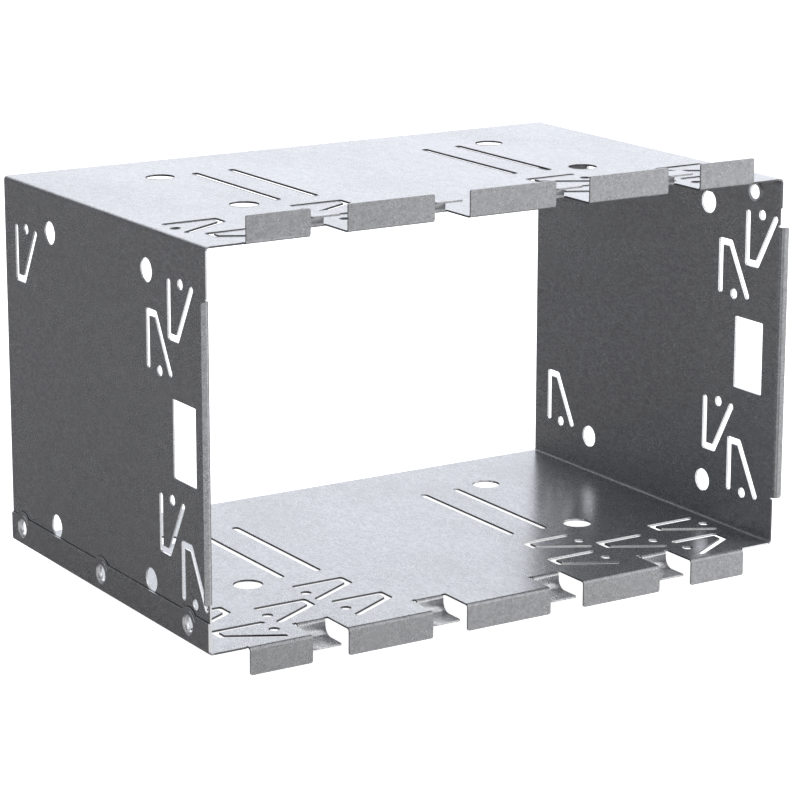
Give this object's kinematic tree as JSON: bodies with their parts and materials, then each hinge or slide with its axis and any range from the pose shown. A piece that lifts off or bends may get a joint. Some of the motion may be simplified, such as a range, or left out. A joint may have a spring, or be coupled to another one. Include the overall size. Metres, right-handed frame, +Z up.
{
  "type": "car radio mounting frame",
  "caption": "Open sheet-steel cage that holds a double-height car radio in a dashboard, with front tabs, curved spring tongues, bend-out tongues, side lips and screw holes.",
  "frame": {"origin": "centre of the underside of the overall box, under the lower front tabs' level", "axes": "the radio goes in from the front, which faces -Y; +X is to the right seen from the front, +Z is up"},
  "size_m": [0.1862, 0.1192, 0.12],
  "materials": {
    "zinc_coated_steel": "bright zinc coating with a fine grain"
  },
  "bodies": {
    "root": {"upper_left_half": "zinc_coated_steel", "lower_right_half": "zinc_coated_steel"}
  },
  "joints": []
}
